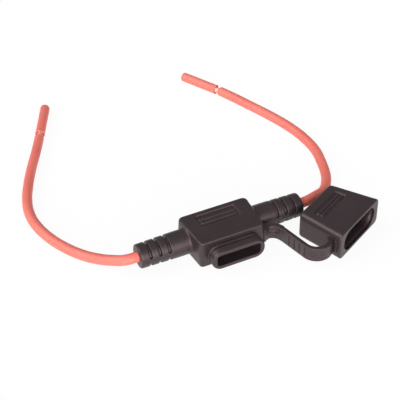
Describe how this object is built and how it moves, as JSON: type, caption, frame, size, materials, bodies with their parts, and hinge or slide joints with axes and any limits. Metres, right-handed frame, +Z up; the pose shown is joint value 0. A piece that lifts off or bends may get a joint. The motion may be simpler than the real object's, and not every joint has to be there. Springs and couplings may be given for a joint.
{
  "type": "inline blade fuse holder",
  "caption": "Soft moulded inline holder for a blade fuse, with ribbed boots, a lead on each side and a push-on cap that hangs on a flat strap.",
  "frame": {"origin": "centre of the housing's flat underside, below the lead axis", "axes": "+X along the lead axis towards the lead on the cap's side, the fuse slot faces -Y, +Z up from the surface it lies on"},
  "size_m": [0.143, 0.1666, 0.0134],
  "materials": {
    "soft_black": "satin moulded elastomer",
    "lead_red": "satin insulation",
    "bare_copper": "bare stranded copper",
    "tinned": "tin plated brass"
  },
  "bodies": {
    "holder": {"housing": "soft_black", "left_terminal": "tinned", "right_terminal": "tinned", "left_crimped_core": "bare_copper", "right_crimped_core": "bare_copper", "left_lead": "lead_red", "right_lead": "lead_red", "left_bare_core": "bare_copper", "right_bare_core": "bare_copper", "left_slug": "lead_red", "right_slug": "lead_red", "strap_root": "soft_black"},
    "strap_bend": {"strap_link": "soft_black"},
    "strap_end": {"strap_tip": "soft_black"},
    "cap": {"cap": "soft_black"}
  },
  "joints": [
    {"name": "cap_swing", "type": "hinge", "parent": "holder", "child": "strap_bend", "pos_m": [0.02695, -0.02819, 0.0067], "axis": [0, 0, 1], "range_deg": [-104, 0]},
    {"name": "strap_curl", "type": "hinge", "parent": "strap_bend", "child": "strap_end", "pos_m": [0.02938, -0.03111, 0.0067], "axis": [0, 0, 1], "range_deg": [-104, 0]},
    {"name": "cap_push", "type": "slide", "parent": "strap_end", "child": "cap", "axis": [0.4695, -0.8829, 0], "range_m": [0, 0.0098]}
  ],
  "couplings": [
    {"joint": "strap_curl", "follows": "cap_swing", "ratio": 1}
  ]
}
